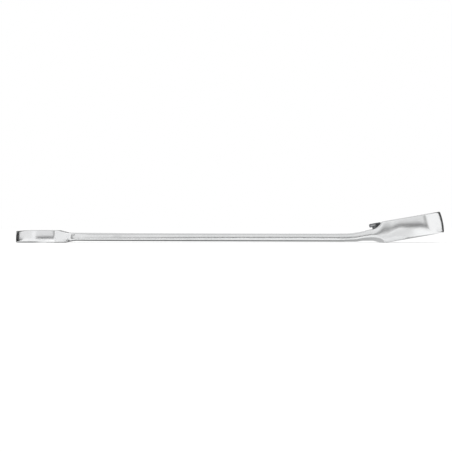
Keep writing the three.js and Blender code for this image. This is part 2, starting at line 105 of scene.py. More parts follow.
# Neck, where a run of 0 is its shank end and 1 is the crest at the ring
NECK_LENGTH = 15.5
NECK_RUN_LIMIT = 1.6
NECK_TOUCH_ANGLE = 68
NECK_UNDER_EDGE = 2.6
NECK_SLOPE_SHARE = 0.47
NECK_SLOPE_POWER = 1.5
NECK_CREST_POWER = 4.3
NECK_DIP = 0.6
NECK_DIP_FROM = 0.62
NECK_RELIEF = 0.4
RELIEF_FROM = 0.3
RELIEF_RUN = 0.2
CREST_EDGE = 0.5
CREST_LEAN = -0.4
CREST_FLATTEN = 0.45
CREST_ZONE_AT = 1.3
CREST_ZONE_WIDTH = 3
HEEL_FROM = 0.74
HEEL_EDGE = 0.2
HEEL_ROUND_FROM = -1
HEEL_ROUND_RUN = 2.5

# Ring
RING_RADIUS = 12.75
RING_THICKNESS = 8.75
RING_EDGE = 0.4
RING_CROWN = 0.5
RING_LEAN = 0.2
RING_LEAN_AT = 4.2
RING_LEAN_WIDTH = 4
RING_LEAN_RUN = 7
RING_END_CROWN = 0.4
RING_END_LEAN = -0.15
RING_END_REACH = 0.15

# Cuts in the ring, with heights from the ring's middle
GEAR_TIP_RADIUS = 9.4
FIT_GAP = 0.3
LIP_RADIUS = 8.8
LIP_TOP = -2.9
GROOVE_RADIUS = 10.4
GROOVE_BOTTOM = 2.2
GROOVE_TOP = 3.5
HOLLOW_OUTER = 11.2
HOLLOW_ANGLE = 50
HOLLOW_BACK = 13.2
HOLLOW_HALF = 2.8
HOLLOW_BOTTOM = -2.6
HOLLOW_TOP = 2.1
PIN_HOLE_RADIUS = 0.85
PIN_HOLE_TOP = 2.9
CUT_EDGE = 0.55

# Lever, and the edges of the gear
LEVER_THICKNESS = 1.5
LEVER_EYE = 2
LEVER_TAIL = 3.15
LEVER_TIP = 0.95
LEVER_EDGE = 0.4
LEVER_SWING = 25
LEVER_RIDGE = 0.12
LEVER_RIDGE_PITCH = 0.62
# Where the lever's painted highlight lies: its band below the lever's top, its span along the tail, and its
# soft edge
LEVER_HIGHLIGHT_TOP = 0.5
LEVER_HIGHLIGHT_BOTTOM = 1
LEVER_HIGHLIGHT_LEFT = 0.5
LEVER_HIGHLIGHT_RIGHT = 1.9
LEVER_HIGHLIGHT_FADE = 0.25
STEM_RADIUS = 1.8
STEM_DEPTH = 4.6
GEAR_EDGE = 0.1
GEAR_EDGE_STEPS = 2
GEAR_EDGE_ANGLE = 25
WELD_REACH = 0.001

# Meshes, and the steps and limits that the fields use
FINE_CELL = 0.24
LONG_CELL = 1.6
LEVER_CELL = 0.13
SLAB_STEPS = 40
CELL_CORNERS = 8
LINE_STEP = 0.05
SLOPE_STEP = 0.01
LEAST_SLOPE = 1e-6
LEVEL_LIMIT = 1.2
CROSSING_ROUNDS = 3
MIDDLE_HOLD = 0.05
CREASE_ANGLE = 25

# Materials: the range that most of a noise lies in, and sockets that share a name
NOISE_LOW = 0.3
NOISE_HIGH = 0.7
CLOUD_DETAIL = 3
GRAIN_DETAIL = 4
MIX_FACTOR = 0
MIX_NUMBERS = (2, 3)
MIX_NUMBER_OUT = 0
MIX_COLORS = (6, 7)
MIX_COLOR_OUT = 2
# The pale steel of the lever's painted highlight
PAINTED_HIGHLIGHT_STEEL = (0.62, 0.63, 0.64, 1)

# Studio in metres and degrees, with greys where 1 is white. First the card in front of the spanner
CARD_DISTANCE = 0.3
CARD_LEFT = -0.33
CARD_RIGHT = 0.56
CARD_SIDE_FADE = 0.05
CARD_BOTTOM = 0.001
CARD_TOP = 0.6
CARD_DARK = 0.17
CARD_DARK_TOP = 0.03
CARD_MIDDLE = 0.8
CARD_MIDDLE_AT = 0.075
CARD_LIGHT = 0.95
STRIP_FROM = 0.385
STRIP_TO = 0.475
STRIP_GREY = 0.4

# Cards around the spanner, by their angle from the front
ROUND_DISTANCE = 0.6
SIDE_FROM = 58
SIDE_TOP = 0.6
SIDE_LEFT_GREY = 0.85
SIDE_RIGHT_GREY = 1
BACK_LEFT_FROM = 113
BACK_RIGHT_FROM = 129
BACK_TO = 174
BACK_TOP = 0.36
BACK_GREY = 0.03
BACK_LEFT_FAR_GREY = 0.3

# Ceiling, and the reach of the widest cards
WIDE_CARD_HALF = 1
CEILING_HEIGHT = 0.5
CEILING_MIDDLE = 0.78
CEILING_SIDE = 0.45
CEILING_FADE_FROM = 0.1
CEILING_FADE_TO = 0.5
CEILING_FRONT_MIDDLE = 0.66
CEILING_FRONT_SIDE = 0.9
CEILING_FRONT_FROM = 0.35
CEILING_FRONT_TO = 0.1

# Cards on the floor beyond the ends, towards the camera, and before the open end and the ring
END_CARD_HEIGHT = 0.00025
END_CARD_INSET = 0.0006
TIP_CARD_FRONT = -0.0045
HEEL_CARD_FRONT = 0.015
NEAR_CARD_FRONT = -0.12
FADE_CARD_HEIGHT = 0.000125
# Before the open end and the ring: painted reflections, sheets that fade from a shade to a light along X in
# place of the shaded floor that the lower flanks reflect
HEAD_CARD_LOW = (-0.085, -0.032)
HEAD_CARD_HIGH = (-0.066, -0.0138)
HEAD_CARD_SHADE_TO = -0.08
HEAD_CARD_LIGHT_FROM = -0.0735
HEAD_CARD_SHADE = 0.98
HEAD_CARD_LIGHT = 1.15
RING_CARD_LOW = (0.045, -0.06)
RING_CARD_HIGH = (0.11, -0.016)
RING_CARD_SHADE_TO = 0.064
RING_CARD_LIGHT_FROM = 0.088
RING_CARD_SHADE = 0.79
RING_CARD_LIGHT = 1.1

# Upright cards that the flanks behind the open end reflect, seen only in reflections: the flank card is a
# painted highlight on the flank, the shoulder card a grey card that darkens a strip at the shoulder
FLANK_CARD_X = -0.062
FLANK_CARD_FRONT = -0.0095
FLANK_CARD_BACK = -0.0048
FLANK_CARD_BOTTOM = 0.0003
FLANK_CARD_TOP = 0.0058
FLANK_CARD_GREY = 0.93
SHOULDER_CARD_X = -0.05
SHOULDER_CARD_FRONT = -0.066
SHOULDER_CARD_BACK = -0.03
SHOULDER_CARD_BOTTOM = 0.004
SHOULDER_CARD_TOP = 0.06
SHOULDER_CARD_GREY = 0.42

# Dark cards on the floor under the spanner, seen only in reflections: painted shadow where the floor lies
# in the spanner's shade. In millimetres: a front is how far one shows past the outline
UNDER_HEIGHT = 0.03
UNDER_STEP = 1.5
TIP_UNDER_FRONT = 2
TIP_UNDER_FADE = 6.5
TIP_UNDER_LIGHT = 0.8
SHANK_UNDER_FRONT = 0
SHANK_SHADOW_LEFT_GREY = 0.15
SHANK_SHADOW_GREY = 0.27
NECK_UNDER_FRONT = 1
NECK_SHADOW_GREY = 0.54
RING_UNDER_FRONT = 4
RING_SHADOW_GREY = 0.42

# Floor, light and camera, in metres
FLOOR_GREY = 0.9
FLOOR_HALF = 6
FILL_LIGHT = 1.16
CAMERA_DISTANCE = 1.57
CAMERA_LENS = 300
CAMERA_X = -0.0017
CAMERA_Z = 0.0069

# Places worked out from the frame and the sizes
joints = {joint["name"]: joint for joint in frame["joints"]}


def joint_place(name):
    x, _, z = joints[name]["pos_m"]
    return x / MM, z / MM


tip_x, heel_x = cad_low.x / MM, cad_high.x / MM
ring_x, ring_z = joint_place("gear_spin")
ring_axis = joints["gear_spin"]["axis"]
ring_sin, ring_cos = -ring_axis[0], ring_axis[2]
ring_half = RING_THICKNESS / 2
lever_x, lever_z = joint_place("lever_swing")
lever_reach = math.hypot(ring_x - lever_x, ring_z - lever_z)
lever_bottom = ring_half - LEVER_THICKNESS
stem_bottom = lever_bottom - STEM_DEPTH
pin_x, pin_z = joint_place("pawl_rock")
pin_reach = math.hypot(ring_x - pin_x, ring_z - pin_z)
jaw_half = JAW_WIDTH / 2
jaw_cos, jaw_sin = math.cos(math.radians(JAW_ANGLE)), math.sin(math.radians(JAW_ANGLE))
jaw_tip = math.sqrt(OPEN_RADIUS ** 2 - jaw_half ** 2) - JAW_TIP_TRIM
jaw_tip_half = math.sqrt(OPEN_RADIUS ** 2 - jaw_tip ** 2)
open_x = tip_x + jaw_tip * jaw_cos + jaw_tip_half * jaw_sin
shoulder_x = open_x + SHOULDER_REACH
shoulder_half = math.sqrt(OPEN_RADIUS ** 2 - SHOULDER_REACH ** 2)
flare_end_x = shoulder_x + FLARE_RUN
crest_x = ring_x - (RING_RADIUS - RING_CROWN) * ring_cos - ring_half * ring_sin
neck_x = crest_x - NECK_LENGTH
touch_angle = math.radians(NECK_TOUCH_ANGLE)
touch_x = ring_x - RING_RADIUS * math.cos(touch_angle)


# Curves and joins. A field is an array of distances, below zero inside

def ease(t):
    t = np.clip(t, 0, 1)
    return t * t * (3 - 2 * t)


def mix(a, b, t):
    return a + (b - a) * t


def hump(x, middle, width):
    return np.exp(-((x - middle) / width) ** 2)


def either(*fields):
    return functools.reduce(np.minimum, fields)


def both(*fields):
    return functools.reduce(np.maximum, fields)


def between(value, low, high):
    return np.maximum(low - value, value - high)


# Either or both, blended where they are closer than a reach
def soft_min(a, b, reach):
    near = np.maximum(reach - np.abs(a - b), 0) / reach
    return np.minimum(a, b) - near * near * reach / 4


def soft_max(a, b, reach):
    return -soft_min(-a, -b, reach)


# Both, with the edge where they meet rounded
def round_meet(a, b, radius):
    a, b = a + radius, b + radius
    return np.minimum(np.maximum(a, b), 0) + np.hypot(np.maximum(a, 0), np.maximum(b, 0)) - radius


# A height above a line, divided by this, is a distance from it
def steepness(line, x):
    slope = (line(x + LINE_STEP) - line(x - LINE_STEP)) / (2 * LINE_STEP)
    return np.sqrt(1 + slope * slope)


# The place in the ring's tilted axes
def tilted(x, z, middle_x, middle_z):
    along = (x - middle_x) * ring_cos + (z - middle_z) * ring_sin
    height = (z - middle_z) * ring_cos - (x - middle_x) * ring_sin
    return along, height


# How far a place along the spanner belongs to the ring, its crest and its far end

def to_ring(x):
    return ease((x - neck_x) / NECK_LENGTH)


def near_crest(x):
    return hump(x, crest_x + CREST_ZONE_AT, CREST_ZONE_WIDTH)


def near_end(x):
    return ease((x - ring_x) / RING_RADIUS)


# Side view of the body

def ring_line(x, side):
    return ring_z + (x - ring_x) * ring_sin / ring_cos + side * ring_half / ring_cos


def neck_run(x):
    return np.clip((x - neck_x) / NECK_LENGTH, 0, NECK_RUN_LIMIT)


def shank_bottom(x):
    run = np.clip((x - flare_end_x) / (neck_x - flare_end_x), 0, 1)
    return mix(SHANK_BOTTOM_LEFT, SHANK_BOTTOM_RIGHT, run ** SHANK_SAG_POWER)


def top_line(x):
    drop = TIP_DROP * (1 - ease((x - tip_x) / TIP_DROP_RUN))
    flare = ease((x - open_x - FLARE_TOP_START) / FLARE_RUN)
    line = mix(OPEN_THICKNESS - drop, shank_bottom(x) + SHANK_THICKNESS, flare)
    run = neck_run(x)
    rise = mix(run ** NECK_CREST_POWER, run ** NECK_SLOPE_POWER, NECK_SLOPE_SHARE)
    dip_run = np.clip((run - NECK_DIP_FROM) / (1 - NECK_DIP_FROM), 0, 1)
    dip = NECK_DIP * np.sin(math.pi * dip_run) ** 2
    line = mix(line, ring_line(crest_x, 1), rise) - dip
    return np.where(run > 0, soft_min(line, ring_line(x, 1), CREST_EDGE), line)


def bottom_line(x):
    flare = ease((x - open_x - FLARE_BOTTOM_START) / FLARE_RUN)
    run = neck_run(x)
    relief = NECK_RELIEF * ease((run - RELIEF_FROM) / RELIEF_RUN)
    to_heel = ease((run - HEEL_FROM) / (1 - HEEL_FROM))
    line = (shank_bottom(x) * flare + relief) * (1 - to_heel)
    return np.where(run > 0, soft_max(line, ring_line(x, -1), HEEL_EDGE), line)


def top_edge(x):
    to_shank = ease((x - flare_end_x) / ROOT_EDGE_RUN)
    return mix(mix(OPEN_EDGE, SHANK_EDGE, to_shank), RING_EDGE, to_ring(x))


def bottom_edge(x):
    to_shank = ease((x - shoulder_x) / (2 * FLARE_RUN))
    to_heel = ease((x - crest_x - HEEL_ROUND_FROM) / HEEL_ROUND_RUN)
    edge = mix(mix(OPEN_EDGE, SHANK_EDGE, to_shank), NECK_UNDER_EDGE, to_ring(x))
    return mix(edge, RING_EDGE, to_heel)


# Top view of the body

# Half the width of the shank and neck, which meets the ring along its tangent
def neck_half(x):
    span = touch_x - neck_x
    run = np.clip((x - neck_x) / span, 0, 1)
    half = mix(SHANK_WIDTH / 2, RING_RADIUS * math.sin(touch_angle), ease(run))
    return half + run * run * (run - 1) * span / math.tan(touch_angle)


def open_plan(x, y, level):
    crown = mix(TIP_CROWN, OPEN_CROWN, ease((x - tip_x) / TIP_CROWN_RUN))
    head = np.hypot(x - open_x, y) - OPEN_RADIUS + crown * (level - OPEN_LEAN) ** 2
    narrowing = shoulder_half - SHANK_WIDTH / 2
    flank = (x - shoulder_x) * narrowing + (np.abs(y) - shoulder_half) * FLARE_RUN
    return soft_max(head, flank / math.hypot(narrowing, FLARE_RUN), SHOULDER_EDGE)


# A slot with a round seat, and how far a place lies past the jaw's tips
def jaw_cut(x, y):
    along = -(x - open_x) * jaw_cos + y * jaw_sin
    across = (x - open_x) * jaw_sin + y * jaw_cos
    slot = np.hypot(np.minimum(along - JAW_SEAT, 0), across) - jaw_half
    return slot, along - jaw_tip


def flank_lean(x):
    to_open = np.clip((neck_x - x) / (neck_x - shoulder_x), 0, 1) ** SHANK_LEAN_POWER
    lean = mix(SHANK_LEAN_RIGHT, SHANK_LEAN_LEFT, to_open)
    lean = lean * (1 - ease((x - crest_x) / RING_LEAN_RUN))
    lean = lean + CREST_LEAN * near_crest(x)
    lean = lean + RING_LEAN * hump(x, ring_x + RING_LEAN_AT, RING_LEAN_WIDTH)
    return lean + RING_END_LEAN * near_end(x)


def flank_crown(x):
    shank_crown = mix(ROOT_CROWN, SHANK_CROWN, ease((x - flare_end_x) / ROOT_RUN))
    ring_crown = mix(RING_CROWN, RING_END_CROWN, near_end(x)) * (1 - CREST_FLATTEN * near_crest(x))
    return mix(shank_crown, ring_crown, to_ring(x))


def side_field(x, y, along_ring, level):
    along = mix(x, ring_x + along_ring, to_ring(x))
    strip = (np.abs(y) - neck_half(along)) / steepness(neck_half, along)
    strip = both(strip, along - touch_x)
    ring = np.hypot(along_ring, y) - RING_RADIUS - RING_END_REACH * near_end(x)
    flank = either(strip, ring) + flank_crown(x) * (level - flank_lean(x)) ** 2
    return soft_min(open_plan(x, y, level), flank, FLARE_FILLET)


# Cuts in the ring, along and above its own tilted middle

def pawl_hollow(along, y, height):
    angle = math.radians(HOLLOW_ANGLE)
    wedge = np.abs(y) * math.cos(angle) + along * math.sin(angle)
    at_gear = both(np.hypot(along, y) - HOLLOW_OUTER, wedge)
    at_pin = both(between(along, -HOLLOW_BACK, 0), np.abs(y) - HOLLOW_HALF)
    return both(either(at_gear, at_pin), between(height, HOLLOW_BOTTOM, HOLLOW_TOP))


def ring_cuts(along, y, height):
    reach = np.hypot(along, y)
    bore = both(reach - GEAR_TIP_RADIUS - FIT_GAP, LIP_TOP - height)
    lip = reach - LIP_RADIUS
    groove = both(reach - GROOVE_RADIUS, between(height, GROOVE_BOTTOM, GROOVE_TOP))
    pin = both(np.hypot(along + pin_reach, y) - PIN_HOLE_RADIUS, height - PIN_HOLE_TOP)
    stem = np.hypot(along + lever_reach, y)
    hole = both(stem - STEM_RADIUS - FIT_GAP, stem_bottom - FIT_GAP - height)
    eye = both(stem - LEVER_EYE - FIT_GAP, lever_bottom - FIT_GAP - height)
    return either(bore, lip, groove, pawl_hollow(along, y, height), pin, hole, eye)


# Whole fields

def body_field(x, y, z):
    along_ring, ring_height = tilted(x, z, ring_x, ring_z)
    top, bottom = top_line(x), bottom_line(x)
    level = np.clip((2 * z - top - bottom) / (top - bottom), -LEVEL_LIMIT, LEVEL_LIMIT)
    over = (z - top) / steepness(top_line, x)
    under = (bottom - z) / steepness(bottom_line, x)
    body = round_meet(side_field(x, y, along_ring, level), over, top_edge(x))
    body = round_meet(body, under, bottom_edge(x))
    slot, past_tip = jaw_cut(x, y)
    body = soft_max(round_meet(body, past_tip, JAW_TIP_EDGE), -slot, CUT_EDGE)
    return soft_max(body, -ring_cuts(along_ring, y, ring_height), CUT_EDGE)


def lever_field(x, y, z):
    along_ring, ring_height = tilted(x, z, lever_x, lever_z)
    turn = math.radians(LEVER_SWING)
    along = -(along_ring * math.cos(turn) + y * math.sin(turn))
    across = y * math.cos(turn) - along_ring * math.sin(turn)
    span = LEVER_TAIL - LEVER_TIP
    share = np.clip(along / span, 0, 1)
    plate = np.hypot(along - span * share, across) - mix(LEVER_EYE, LEVER_TIP, share)
    ridge = LEVER_RIDGE / 2 * (1 - np.cos(2 * math.pi * along / LEVER_RIDGE_PITCH))
    ridge = ridge * ease((along - LEVER_TIP) / LEVER_RIDGE_PITCH)
    height = ring_height - lever_bottom - LEVER_THICKNESS / 2
    thick = np.abs(height) - LEVER_THICKNESS / 2 + np.where(height > 0, ridge, 0)
    stem = both(np.hypot(along, across) - STEM_RADIUS, stem_bottom - ring_height, height)
    return either(round_meet(plate, thick, LEVER_EDGE), stem)


# Meshes made on the zero surface of a field: one point in each cell that the surface passes through

def field_values(field, axes):
    x, y, z = axes
    slabs = np.array_split(x, max(1, len(x) // SLAB_STEPS))
    values = [field(slab[:, None, None], y[None, :, None], z[None, None, :]) for slab in slabs]
    return np.concatenate(values)


def surface_cells(values):
    inside = values < 0
    count = np.zeros([size - 1 for size in values.shape], dtype=int)
    for offset in np.ndindex(2, 2, 2):
        part = tuple(slice(shift, shift + size) for shift, size in zip(offset, count.shape))
        count += inside[part]
    return np.nonzero((count > 0) & (count < CELL_CORNERS))


def slopes(field, points):
    parts = []
    for axis in range(3):
        ahead, behind = points.copy(), points.copy()
        ahead[:, axis] += SLOPE_STEP
        behind[:, axis] -= SLOPE_STEP
        parts.append((field(*ahead.T) - field(*behind.T)) / (2 * SLOPE_STEP))
    return np.stack(parts, axis=1)


def facing(field, points):
    slope = slopes(field, points)
    return slope / np.maximum(np.linalg.norm(slope, axis=1), LEAST_SLOPE)[:, None]


# Where the surface cuts an edge, closer with each round
def crossing(field, start, end, at_start, at_end):
    for _ in range(CROSSING_ROUNDS):
        share = (at_start / (at_start - at_end))[:, None]
        point = start + share * (end - start)
        value = field(*point.T)
        same = (value < 0) == (at_start < 0)
        start = np.where(same[:, None], point, start)
        end = np.where(same[:, None], end, point)
        at_start = np.where(same, value, at_start)
        at_end = np.where(same, at_end, value)
    return point


def cell_edges():
    for axis in range(3):
        for offset in np.ndindex(2, 2):
            yield axis, np.insert(offset, axis, 0)[:, None]


def grid_points(axes, places):
    return np.stack([axis[place] for axis, place in zip(axes, places)], axis=1)


# The point nearest to the planes at a cell's crossings, held a little to their middle
def cell_points(field, values, cells, axes):
    count = cells.shape[1]
    middle, met = np.zeros((count, 3)), np.zeros((count, 1))
    spread, pull = np.zeros((count, 3, 3)), np.zeros((count, 3))
    for axis, offset in cell_edges():
        start = cells + offset
        end = start + (np.arange(3) == axis)[:, None]
        at_start, at_end = values[tuple(start)], values[tuple(end)]
        rows = np.nonzero((at_start < 0) != (at_end < 0))[0]
        first, last = grid_points(axes, start[:, rows]), grid_points(axes, end[:, rows])
        point = crossing(field, first, last, at_start[rows], at_end[rows])
        normal = facing(field, point)
        middle[rows] += point
        met[rows] += 1
        spread[rows] += normal[:, :, None] * normal[:, None, :]
        pull[rows] += normal * (normal * point).sum(1, keepdims=True)
    spread += MIDDLE_HOLD * np.eye(3)
    pull += MIDDLE_HOLD * middle / met
    points = np.linalg.solve(spread, pull[:, :, None])[:, :, 0]
    return np.clip(points, grid_points(axes, cells), grid_points(axes, cells + 1))


# One quad around each grid edge that the surface cuts
def quads_of(values, number):
    faces = []
    inside = values < 0
    for axis in range(3):
        one, two = (axis + 1) % 3, (axis + 2) % 3
        start = np.delete(inside, -1, axis)
        end = np.delete(inside, 0, axis)
        changes = np.argwhere(start != end)
        changes = changes[(changes[:, one] > 0) & (changes[:, two] > 0)]
        corners = []
        for back_one, back_two in ((1, 1), (0, 1), (0, 0), (1, 0)):
            cell = changes.copy()
            cell[:, one] -= back_one
            cell[:, two] -= back_two
            corners.append(number[tuple(cell.T)])
        quads = np.stack(corners, axis=1)
        outward = start[tuple(changes.T)]
        quads[~outward] = quads[~outward][:, ::-1]
        faces.append(quads)
    return np.concatenate(faces)


# The field's own normals, with the face's where the two differ by more than a crease
def corner_normals(field, points, faces):
    at_corners = facing(field, points)[faces]
    at_faces = facing(field, points[faces].mean(axis=1))[:, None, :]
    creased = (at_corners * at_faces).sum(2, keepdims=True) < math.cos(math.radians(CREASE_ANGLE))
    return np.where(creased, at_faces, at_corners).reshape(-1, 3)


def link_object(name, data):
    thing = bpy.data.objects.new(name, data)
    bpy.context.scene.collection.objects.link(thing)
    return thing


def field_piece(name, field, axes):
    values = field_values(field, axes)
    cells = np.array(surface_cells(values))
    number = np.full([size - 1 for size in values.shape], -1)
    number[tuple(cells)] = np.arange(cells.shape[1])
    points = cell_points(field, values, cells, axes)
    faces = quads_of(values, number)
    mesh = bpy.data.meshes.new(name)
    mesh.from_pydata((points * MM).tolist(), [], faces.tolist())
    mesh.polygons.foreach_set("use_smooth", [True] * len(mesh.polygons))
    mesh.normals_split_custom_set(corner_normals(field, points, faces).tolist())
    mesh.update()
    return link_object(name, mesh)


# Pieces

def steps(start, end, size):
    return np.linspace(start, end, int(math.ceil((end - start) / size)) + 1)


def node_box(node):
    low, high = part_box(node)
    return np.array(low) / MM, np.array(high) / MM


def body_piece():
    low, high = node_box("spanner_body")
    fine_end = flare_end_x + FLARE_RUN
    left = steps(low[0] - FINE_CELL, fine_end, FINE_CELL)
    shank = steps(fine_end, neck_x, LONG_CELL)
    right = steps(neck_x, high[0] + FINE_CELL, FINE_CELL)
    along = np.concatenate([left, shank[1:-1], right])
    across = steps(low[1] - FINE_CELL, high[1] + FINE_CELL, FINE_CELL)
    upward = steps(low[2] - FINE_CELL, high[2] + FINE_CELL, FINE_CELL)
    return field_piece("forged_body", body_field, (along, across, upward))


def lever_piece():
    low, high = node_box("reversing_lever")
    room = 2 * LEVER_CELL
    axes = [steps(start - room, end + room, LEVER_CELL) for start, end in zip(low, high)]
    return field_piece("thumb_lever", lever_field, axes)


def dress(piece, material):
    piece.data.materials.clear()
    piece.data.materials.append(material)


def soften(piece, width):
    weld = piece.modifiers.new("weld", "WELD")
    weld.merge_threshold = WELD_REACH * MM
    bevel = piece.modifiers.new("edge", "BEVEL")
    bevel.width = width * MM
    bevel.segments = GEAR_EDGE_STEPS
    bevel.limit_method = "ANGLE"
    bevel.angle_limit = math.radians(GEAR_EDGE_ANGLE)
    bevel.harden_normals = True


# Materials

# One material, with short calls for the nodes that feed its shader
class Nodes:
    def __init__(self, name, shader="ShaderNodeBsdfPrincipled"):
        self.material = bpy.data.materials.new(name)
        self.material.use_nodes = True
        self.tree = self.material.node_tree
        self.tree.nodes.clear()
        self.shader = self.add(shader)
        self.add("ShaderNodeOutputMaterial", {"Surface": self.shader.outputs[0]})

    def add(self, kind, links=None, values=None, **settings):
        node = self.tree.nodes.new(kind)
        for key, setting in settings.items():
            setattr(node, key, setting)
        for socket, value in (values or {}).items():
            node.inputs[socket].default_value = value
        for socket, source in (links or {}).items():
            self.tree.links.new(source, node.inputs[socket])
        return node

    def feed(self, socket, source):
        self.tree.links.new(source, self.shader.inputs[socket])

    def whole_place(self):
        return self.add("ShaderNodeTexCoord").outputs["Object"]

    def place(self, axis):
        return self.add("ShaderNodeSeparateXYZ", {"Vector": self.whole_place()}).outputs[axis]

    def join(self, operation, one, other):
        return self.add("ShaderNodeMath", {0: one, 1: other}, operation=operation).outputs[0]

    def noise(self, scale, detail, stretch=(1, 1, 1)):
        spread = self.add("ShaderNodeMapping", {"Vector": self.whole_place()}, {"Scale": stretch})
        values = {"Scale": scale, "Detail": detail}
        return self.add("ShaderNodeTexNoise", {"Vector": spread.outputs[0]}, values).outputs["Fac"]

    def band(self, source, low, high, start=NOISE_LOW, end=NOISE_HIGH):
        values = {"From Min": start, "From Max": end, "To Min": low, "To Max": high}
        return self.add("ShaderNodeMapRange", {"Value": source}, values).outputs["Result"]

    def fade(self, source, start, end, low, high):
        value = self.band(source, low, high, start, end)
        value.node.interpolation_type = "SMOOTHSTEP"
        return value

    def window(self, source, start, end, soft):
        rise = self.fade(source, (start - soft) * MM, start * MM, 0, 1)
        fall = self.fade(source, end * MM, (end + soft) * MM, 1, 0)
        return self.join("MULTIPLY", rise, fall)

    def cloud(self, scale, dark, light):
        ramp = self.add("ShaderNodeValToRGB", {"Fac": self.noise(scale, CLOUD_DETAIL)})
        first, last = ramp.color_ramp.elements
        first.position, last.position = NOISE_LOW, NOISE_HIGH
        first.color, last.color = (*dark, 1), (*light, 1)
        return ramp.outputs["Color"]

    def grain(self, scale, stretch, smooth, rough, strength, depth):
        lines = self.noise(scale, GRAIN_DETAIL, stretch)
        self.feed("Roughness", self.band(lines, smooth, rough))
        relief = {"Strength": strength, "Distance": depth * MM}
        self.feed("Normal", self.add("ShaderNodeBump", {"Height": lines}, relief).outputs["Normal"])

    def metal(self, color):
        self.shader.inputs["Metallic"].default_value = 1
        self.feed("Base Color", color)
        return self.material


def satin_chrome():
    nodes = Nodes("satin_chrome")
    nodes.grain(scale=5200, stretch=(0.08, 1, 1), smooth=0.15, rough=0.24, strength=0.12, depth=0.02)
    return nodes.metal(nodes.cloud(scale=160, dark=(0.85, 0.86, 0.865), light=(0.9, 0.905, 0.91)))


def machined_steel():
    nodes = Nodes("machined_steel")
    nodes.grain(scale=4800, stretch=(1, 1, 0.1), smooth=0.24, rough=0.36, strength=0.15, depth=0.02)
    return nodes.metal(nodes.cloud(scale=240, dark=(0.58, 0.585, 0.59), light=(0.68, 0.685, 0.69)))


def spring_steel():
    nodes = Nodes("spring_steel")
    nodes.grain(scale=9000, stretch=(1, 1, 1), smooth=0.3, rough=0.45, strength=0.12, depth=0.01)
    return nodes.metal(nodes.cloud(scale=500, dark=(0.36, 0.37, 0.39), light=(0.5, 0.51, 0.53)))


# Painted highlight: a pale patch painted on the side of the lever's tail, in a band below its top near the
# tail's end
def painted_highlight_spot(nodes):
    rise = nodes.add(
        "ShaderNodeVectorMath", {0: nodes.whole_place()}, {1: ring_axis}, operation="DOT_PRODUCT")
    top = ring_half + lever_z * ring_cos - lever_x * ring_sin
    side = nodes.window(
        rise.outputs["Value"], top - LEVER_HIGHLIGHT_BOTTOM, top - LEVER_HIGHLIGHT_TOP, LEVER_HIGHLIGHT_FADE)
    tail_x = lever_x - LEVER_TAIL
    tail = nodes.window(
        nodes.place("X"), tail_x + LEVER_HIGHLIGHT_LEFT, tail_x + LEVER_HIGHLIGHT_RIGHT, 2 * LEVER_HIGHLIGHT_FADE)
    return nodes.join("MULTIPLY", side, tail)


def dark_steel():
    nodes = Nodes("dark_steel")
    nodes.grain(scale=8000, stretch=(1, 0.2, 1), smooth=0.16, rough=0.28, strength=0.1, depth=0.01)
    color = nodes.cloud(scale=700, dark=(0.1, 0.105, 0.11), light=(0.16, 0.165, 0.17))
    # The painted highlight mixes the pale steel over the lever's dark colour
    dark, highlight = MIX_COLORS
    links = {MIX_FACTOR: painted_highlight_spot(nodes), dark: color}
    blend = nodes.add("ShaderNodeMix", links, {highlight: PAINTED_HIGHLIGHT_STEEL}, data_type="RGBA")
    return nodes.metal(blend.outputs[MIX_COLOR_OUT])


# Studio materials

def matte(name, grey):
    nodes = Nodes(name, "ShaderNodeBsdfDiffuse")
    nodes.shader.inputs["Color"].default_value = (grey, grey, grey, 1)
    return nodes.material


def glow(name, grey):
    nodes = Nodes(name, "ShaderNodeEmission")
    nodes.shader.inputs["Strength"].default_value = grey
    return nodes.material


def side_glow(name, start, end, left_grey, right_grey):
    nodes = Nodes(name, "ShaderNodeEmission")
    nodes.feed("Strength", nodes.fade(nodes.place("X"), start, end, left_grey, right_grey))
    return nodes.material


def front_glow():
    nodes = Nodes("front_card", "ShaderNodeEmission")
    across, height = nodes.place("X"), nodes.place("Z")
    lower = nodes.fade(height, CARD_DARK_TOP, CARD_MIDDLE_AT, CARD_DARK, CARD_MIDDLE)
    upper = nodes.fade(height, CARD_MIDDLE_AT, CARD_TOP, 0, CARD_LIGHT - CARD_MIDDLE)
    left = nodes.fade(across, CARD_LEFT, CARD_LEFT + CARD_SIDE_FADE, CARD_LIGHT, 0)
    right = nodes.fade(across, CARD_RIGHT - CARD_SIDE_FADE, CARD_RIGHT, 0, CARD_LIGHT)
    level = nodes.join("MAXIMUM", nodes.join("ADD", lower, upper), nodes.join("MAXIMUM", left, right))
    strip_left = nodes.fade(across, STRIP_FROM - CARD_SIDE_FADE, STRIP_FROM, 1, STRIP_GREY)
    strip_right = nodes.fade(across, STRIP_TO, STRIP_TO + CARD_SIDE_FADE, STRIP_GREY, 1)
    strip = nodes.join("MAXIMUM", strip_left, strip_right)
    nodes.feed("Strength", nodes.join("MINIMUM", level, strip))
    return nodes.material


def ceiling_glow():
    nodes = Nodes("ceiling_card", "ShaderNodeEmission")
    aside = nodes.add("ShaderNodeMath", {0: nodes.place("X")}, operation="ABSOLUTE").outputs[0]
    reach = (CEILING_FADE_FROM, CEILING_FADE_TO)
    back_level = nodes.fade(aside, *reach, CEILING_MIDDLE, CEILING_SIDE)
    front_level = nodes.fade(aside, *reach, CEILING_FRONT_MIDDLE, CEILING_FRONT_SIDE)
    share = nodes.fade(nodes.place("Y"), CEILING_FRONT_TO, CEILING_FRONT_FROM, 0, 1)
    front, back = MIX_NUMBERS
    level = nodes.add("ShaderNodeMix", {MIX_FACTOR: share, front: front_level, back: back_level})
    nodes.feed("Strength", level.outputs[MIX_NUMBER_OUT])
    return nodes.material


# Studio: cards that only reflections see, the floor, the light and the camera

